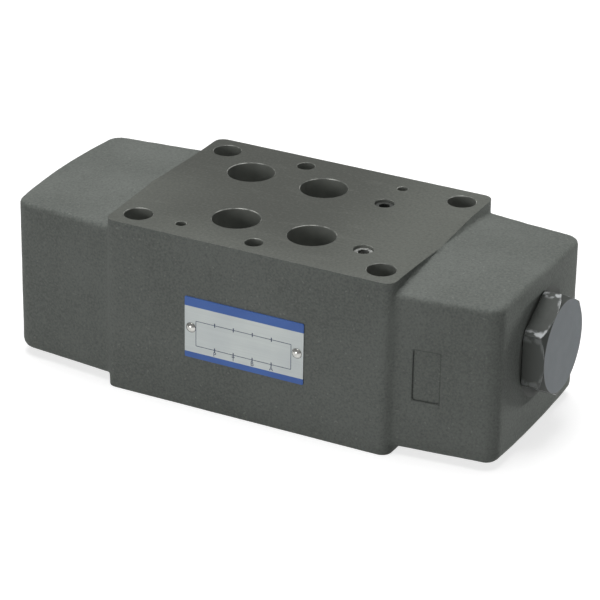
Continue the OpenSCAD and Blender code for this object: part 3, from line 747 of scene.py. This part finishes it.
def passage_cutters():
    """Cored windows from the bore to ports A and B, and the way from the sleeve to B's base."""
    half, arc_steps = WINDOW_W / 2, 16
    bx, by = PORT_B
    cutters = []
    for x, y in (PORT_A, PORT_B):
        outline = [(-half, 0), (half, 0)]
        for i in range(arc_steps + 1):
            a = math.pi * i / arc_steps
            outline.append((half * math.cos(a), -y - half + half * math.sin(a)))
        at = Matrix.Translation(Vector((x, y, BORE_Z - WINDOW_DIP)) * MM)
        cutters.append(prism("cut_window", outline, WINDOW_TOP - BORE_Z + WINDOW_DIP, at))
    rods = ((CROSSING_R, PASSAGE_Y + PASSAGE_R - by, (bx, by), (0, 1, 0)),
            (PASSAGE_R, RISER_X + PASSAGE_R - bx, (bx, PASSAGE_Y), (1, 0, 0)),
            (RISER_R, RISER_HEIGHT, (RISER_X, PASSAGE_Y), (0, 0, 1)))
    for radius, length, place, axis in rods:
        cutters.append(rod("cut_passage", radius, 0, length, (*place, PASSAGE_Z), axis, 48))
    return cutters


def valve_bore_cutter():
    """The stepped valve bore, with the sloped wall of the plug's spot face."""
    start, profile = BORE_START, [(BORE_START, 0)]
    for end, radius in BORE_STEPS:
        profile += [(start, radius), (end, radius)]
        start = end
    profile += [(PLUG_SEAT, SPOT_FLOOR_R), (PLUG_SEAT + SPOT_WALL, SPOT_RIM_R),
                (SPOT_CUT_END, SPOT_RIM_R), (SPOT_CUT_END, 0)]
    return turned_solid("cut_valve_bore", profile, (0, 0, BORE_Z), (1, 0, 0), 96)


def panel_cutter():
    """The sunk panel on the front flank of the right end."""
    thickness = 3.0
    past_block = PANEL_X - BLOCK_LENGTH / 2
    slope = math.atan((ROOT_WIDTH - TIP_WIDTH) / 2 / (RIGHT_REACH - BLOCK_LENGTH / 2))
    face_y = ROOT_WIDTH / 2 - past_block * math.tan(slope)
    at = (Matrix.Translation(Vector((PANEL_X, -face_y, PANEL_Z)) * MM)
          @ Matrix.Rotation(slope, 4, "Z") @ Matrix.Rotation(math.pi / 2, 4, "X")
          @ Matrix.Translation((0, 0, -PANEL_DEPTH * MM)))
    return prism("cut_panel", round_outline(PANEL_W, PANEL_H, PANEL_CORNER), thickness, at)


def casting_cutters():
    """Everything that was drilled, bored or cored in the casting."""
    cutters = hole_cutters() + passage_cutters() + [valve_bore_cutter()]
    for x in (-PLATE_SCREW_X, PLATE_SCREW_X):
        cutters.append(rod("cut_plate_screw", PLATE_SCREW_R, -PAST, PLATE_SCREW_DEPTH,
                           (x, -BLOCK_WIDTH / 2, PLATE_Z), (0, 1, 0), 24))
    return cutters + [panel_cutter()]


def casting():
    """The finished valve body."""
    skin, milled, bored = cast_skin(), milled_face(), bored_wall()
    # Bright bare tones: rubbed iron, plus a painted highlight on the block's front edge and painted
    # glint on hole rims. The last tone is painted shade on the other block edges.
    edge = rubbed_edge_with_glint("block_edge_with_painted_highlight", (100, 103, 98), (156, 158, 152), 0.3, (74, 77, 72))
    rim = rubbed_edge_with_glint("hole_rim_with_painted_glint", (98, 101, 96), (186, 188, 182), 0.28)
    blank = casting_blank((skin, milled, bored, edge))
    group = bpy.data.collections.new("casting_cutters")
    scene.collection.children.link(group)
    cutters = casting_cutters()
    for cutter in cutters:
        scene.collection.objects.unlink(cutter)
        group.objects.link(cutter)
        cutter.data.materials.append(skin if cutter.name.startswith("cut_panel") else bored)
        cutter.data.materials.append(rim)
    cut = blank.modifiers.new("machining", "BOOLEAN")
    cut.operation = "DIFFERENCE"
    cut.operand_type = "COLLECTION"
    cut.collection = group
    cut.solver = "EXACT"
    cut.material_mode = "TRANSFER"
    mesh = frozen(blank, "valve_casting")
    drop(*cutters)
    bpy.data.collections.remove(group)
    smooth_by_angle(mesh, 32)
    made = new_object("valve_casting", mesh)
    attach(made, "housing")
    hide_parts("valve_body")


# Pieces that keep the shape of their solid

def finished_copy(node, name, body, slot, *materials, bevel=0.0, angle=30):
    """A merged, smooth copy of a solid with its edges broken, in place of its loose triangles.

    A second material is for the broken edges.
    """
    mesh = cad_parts[node].data.copy()
    mesh.materials.clear()
    work = bmesh.new()
    work.from_mesh(mesh)
    bmesh.ops.remove_doubles(work, verts=work.verts, dist=1e-6)
    for face in work.faces:
        face.material_index = 0
    if bevel:
        bmesh.ops.dissolve_limit(work, angle_limit=math.radians(0.5), verts=work.verts,
                                 edges=work.edges)
        sharp = [e for e in work.edges
                 if len(e.link_faces) == 2 and e.calc_face_angle() > math.radians(angle)]
        broken = bmesh.ops.bevel(work, geom=sharp, offset=bevel * MM, segments=2, affect="EDGES",
                                 profile=0.5, clamp_overlap=True)
        for face in broken["faces"]:
            face.material_index = len(materials) - 1
    work.to_mesh(mesh)
    work.free()
    made = new_object(name, mesh, *materials)
    smooth_by_angle(mesh, angle + 15 if bevel else angle)
    if bevel:
        made.modifiers.new("flat faces stay flat", "WEIGHTED_NORMAL").keep_sharp = True
        made = new_object(name, frozen(made, name))
    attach(made, body)
    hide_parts(node)


def pieces_from_solids():
    hard = turned_steel("hardened_steel", (118, 120, 124), (158, 160, 163), 0.35, 0.28)
    ground = turned_steel("ground_steel", (168, 170, 172), (204, 205, 206), 0.2, 0.2)
    plugs = {
        "x": turned_steel("oiled_plug_steel", (52, 54, 52), (72, 74, 71), 0.3, 0.45,
                          axis=2, metallic=0.3),
        # Painted glints: bright specks on the Y plug's steel.
        "y": turned_steel("plug_steel_with_painted_glints", (46, 48, 46), (190, 192, 188), 0.3, 0.4,
                          axis=2, metallic=0.3, cloud_scale=800.0),
    }
    rubber = seal_rubber()
    finished_copy("end_plug", "hexagon_plug", "housing", "black_oxide", black_oxide(), worn_edge(),
                  bevel=0.24, angle=25)
    finished_copy("pilot_piston", "piston_with_rod", "piston", "hard_steel", hard)
    finished_copy("check_sleeve", "seat_sleeve", "housing", "hard_steel", hard)
    finished_copy("check_poppet", "poppet_cone", "poppet", "ground_steel", ground)
    finished_copy("sleeve_backup_ring", "backup_ring", "housing", "backup_ring", backup_plastic())
    for name in ("sleeve_seal", "plug_seal", "port_seal_p", "port_seal_t", "port_seal_a",
                 "port_seal_b", "pilot_seal_x", "pilot_seal_y"):
        finished_copy(name, "ring_of_" + name, "housing", "seal", rubber, angle=50)
    for key, steel in plugs.items():
        finished_copy("pilot_plug_" + key, "socket_plug_" + key, "housing", "plug_steel", steel,
                      bevel=0.1)
    finished_copy("nameplate", "plate_on_front", "housing", "plate", printed_plate(), bevel=0.08)
    bright = bright_plating()
    for side in ("left", "right"):
        finished_copy("nameplate_screw_" + side, "drive_screw_" + side, "housing", "plated_screw",
                      bright)


SPRING_TURNS, SPRING_POINTS, WIRE_POINTS = 9, 32, 12
SPRING_SIZES = {
    "Turns": float(SPRING_TURNS), "Radius": 6.3 * MM, "Wire radius": 0.88 * MM,
    "Start": 55.0 * MM, "End": 95.67 * MM, "Close pitch": 1.89 * MM,
}


def coil_spring():
    """The poppet's spring as one smooth wire on a helix with closed ends."""
    tree, size = sized_tree("coil_spring", SPRING_SIZES)
    line = tree.node("GeometryNodeCurvePrimitiveLine", {}, {"Start": (0, 0, 0), "End": (1, 0, 0)})
    line = tree.node("GeometryNodeResampleCurve", {}, {
        "Curve": line, "Count": SPRING_TURNS * SPRING_POINTS + 1})
    turns, close_pitch = size["Turns"], size["Close pitch"]
    turn = tree.node("GeometryNodeSplineParameter", {}, {}) * turns
    open_pitch = (size["End"] - size["Start"] - 2 * close_pitch) / (turns - 2)
    along = (size["Start"] + turn.min(1.0) * close_pitch
             + ((turn - 1.0).max(0.0).min(turns - 2)) * open_pitch
             + (turn - turns + 1.0).max(0.0) * close_pitch)
    angle = turn * (2 * math.pi)
    y = angle.math("COSINE") * size["Radius"]
    z = angle.math("SINE") * size["Radius"] + BORE_Z * MM
    place = tree.node("ShaderNodeCombineXYZ", {}, {"X": along, "Y": y, "Z": z})
    line = tree.node("GeometryNodeSetPosition", {}, {"Geometry": line, "Position": place})
    ring = tree.node("GeometryNodeCurvePrimitiveCircle", {}, {
        "Resolution": WIRE_POINTS, "Radius": size["Wire radius"]})
    wire = tree.node("GeometryNodeCurveToMesh", {}, {
        "Curve": line, "Profile Curve": ring, "Fill Caps": True})
    wire = tree.node("GeometryNodeRealizeInstances", {}, {"Geometry": wire})
    steel = turned_steel("spring_wire", (96, 98, 104), (136, 138, 144), 0.8, 0.3)
    wire = tree.node("GeometryNodeSetMaterial", {}, {"Geometry": wire, "Material": steel})
    tree.node("NodeGroupOutput", {}, {"Geometry": wire})
    mesh = grown("coil_spring", tree, SPRING_SIZES)
    smooth_by_angle(mesh, 40)
    made = new_object("coil_spring", mesh)
    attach(made, "housing")
    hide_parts("poppet_spring")
    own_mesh(made)


# Print on the nameplate

def ink_bar(work, x0, x1, z0, z1):
    """A thin raised bar of ink on the plate."""
    corners = ((x0, z0), (x1, z0), (x1, z1), (x0, z1))
    verts = [work.verts.new((px * MM, (PLATE_FACE_Y - lift) * MM, pz * MM))
             for lift in (0.0, INK_HEIGHT) for px, pz in corners]
    faces = ((0, 1, 2, 3), (4, 5, 6, 7), (0, 1, 5, 4), (1, 2, 6, 5), (2, 3, 7, 6), (3, 0, 4, 7))
    for face in faces:
        work.faces.new([verts[i] for i in face])


def plate_print():
    """The port diagram: a frame with a tick at each port on both lines, and letters below."""
    left, right, low, high = -20.2, 19.9, 26.5, 36.8
    line, tick_w, tick_h = 0.23, 0.42, 1.7
    letter_size, letter_z = 2.5, 23.95
    ports = (("P", -12.2), ("T", -4.3), ("B", 3.7), ("A", 11.7))
    ink = plate_ink()
    work = bmesh.new()
    for z in (low, high):
        ink_bar(work, left, right, z - line / 2, z + line / 2)
    for x in (left, right):
        ink_bar(work, x - line / 2, x + line / 2, low + line / 2, high - line / 2)
    for _, x in ports:
        for z in (low, high):
            for z0, z1 in ((z - tick_h / 2, z - line / 2), (z + line / 2, z + tick_h / 2)):
                ink_bar(work, x - tick_w / 2, x + tick_w / 2, z0, z1)
    bmesh.ops.recalc_face_normals(work, faces=work.faces)
    made = object_of(work, "plate_diagram", ink)
    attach(made, "housing")
    upright = Matrix.Rotation(math.pi / 2, 4, "X")
    for letter, x in ports:
        name = "port_letter_" + letter
        curve = bpy.data.curves.new(name, "FONT")
        curve.body = letter
        curve.size = letter_size * MM
        curve.align_x = "CENTER"
        curve.extrude = INK_HEIGHT / 2 * MM
        mesh = frozen(new_object(name, curve), name)
        at = Vector((x, PLATE_FACE_Y - INK_HEIGHT / 2, letter_z)) * MM
        mesh.transform(Matrix.Translation(at) @ upright)
        made = new_object(name, mesh, ink)
        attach(made, "housing")


# Stage, light and camera, in metres

WHITE, MID_GREY = (1.0, 1.0, 1.0, 1.0), (0.5, 0.5, 0.5, 1.0)


def pale_floor():
    """A plain pale floor: it keeps the shadow, and looks white except under the block."""
    half, floor_z, glow_power = 6.0, -0.0002, 0.74
    material, tree = new_material("pale_floor")
    by_camera, by_mirror, by_glass = tree.outputs(
        "ShaderNodeLightPath", "Is Camera Ray", "Is Glossy Ray", "Is Transmission Ray")
    seen = by_camera.max(by_mirror).max(by_glass)
    x, y, _ = object_place(tree).axes_mm()
    clear = (abs(x) - BLOCK_LENGTH / 2).max(abs(y) - BLOCK_WIDTH / 2).step(-3.0, -1.0)
    plain = tree.node("ShaderNodeBsdfDiffuse", {}, {"Color": MID_GREY})
    glow = tree.node("ShaderNodeEmission", {}, {
        "Color": WHITE, "Strength": glow_power * seen * clear})
    both = tree.node("ShaderNodeAddShader", {}, {0: plain, 1: glow})
    tree.node("ShaderNodeOutputMaterial", {}, {"Surface": both})
    work = bmesh.new()
    work.faces.new([work.verts.new((sx * half, sy * half, floor_z))
                    for sx, sy in ((-1, -1), (1, -1), (1, 1), (-1, 1))])
    object_of(work, "pale_floor", material)


def studio_world():
    """A dim white room that the camera sees as white."""
    world = bpy.data.worlds.new("studio")
    scene.world = world
    world.use_nodes = True
    world.node_tree.nodes.clear()
    tree = Tree(world.node_tree)
    by_camera, by_mirror = tree.outputs("ShaderNodeLightPath", "Is Camera Ray", "Is Glossy Ray")
    strength = 0.12 + 0.88 * by_camera + 0.25 * by_mirror
    glow = tree.node("ShaderNodeBackground", {}, {"Color": WHITE, "Strength": strength})
    tree.node("ShaderNodeOutputWorld", {}, {"Surface": glow})


def softbox(name, place, target, size, power, mirrored=True):
    lamp = bpy.data.lights.new(name, "AREA")
    lamp.shape = "RECTANGLE"
    lamp.size, lamp.size_y = size
    lamp.energy = power
    made = bpy.data.objects.new(name, lamp)
    made.visible_glossy = mirrored
    made.location = place
    made.rotation_euler = (Vector(target) - Vector(place)).to_track_quat("-Z", "Y").to_euler()
    scene.collection.objects.link(made)


def lights():
    softbox("top_softbox", place=(-0.1, 0.1, 1.5), target=(0, 0, 0.05), size=(0.9, 1.1),
            power=20.0)
    softbox("front_fill", place=(-0.45, -1.62, 0.35), target=(0, 0, 0.04), size=(0.9, 0.6),
            power=6.7)
    softbox("low_card", place=(0.62, 1.02, 0.015), target=(0.1, 0, 0.04), size=(0.25, 0.03),
            power=7.2, mirrored=False)


def photo_camera():
    """The camera that was fitted to the mounting holes."""
    place = Vector((0.4713, -0.92713, 0.53231))
    turn, tilt, roll = math.radians(26.938), math.radians(25.726), math.radians(0.961)
    focal_px, photo_px, sensor_mm = 3006.5, 600, 36.0
    look = Vector((-math.sin(turn) * math.cos(tilt), math.cos(turn) * math.cos(tilt),
                   -math.sin(tilt)))
    level = Vector((math.cos(turn), math.sin(turn), 0))
    right = math.cos(roll) * level + math.sin(roll) * level.cross(look)
    up = right.cross(look)
    lens = bpy.data.cameras.new("photo_camera")
    lens.sensor_width = sensor_mm
    lens.lens = focal_px / photo_px * sensor_mm
    lens.clip_start, lens.clip_end = 0.05, 30.0
    made = new_object("photo_camera", lens)
    axes = Matrix((right, up, -look)).transposed().to_4x4()
    made.matrix_world = Matrix.Translation(place) @ axes
    scene.camera = made


scene.view_settings.view_transform = "Standard"
casting()
pieces_from_solids()
coil_spring()
plate_print()
pale_floor()
studio_world()
lights()
photo_camera()
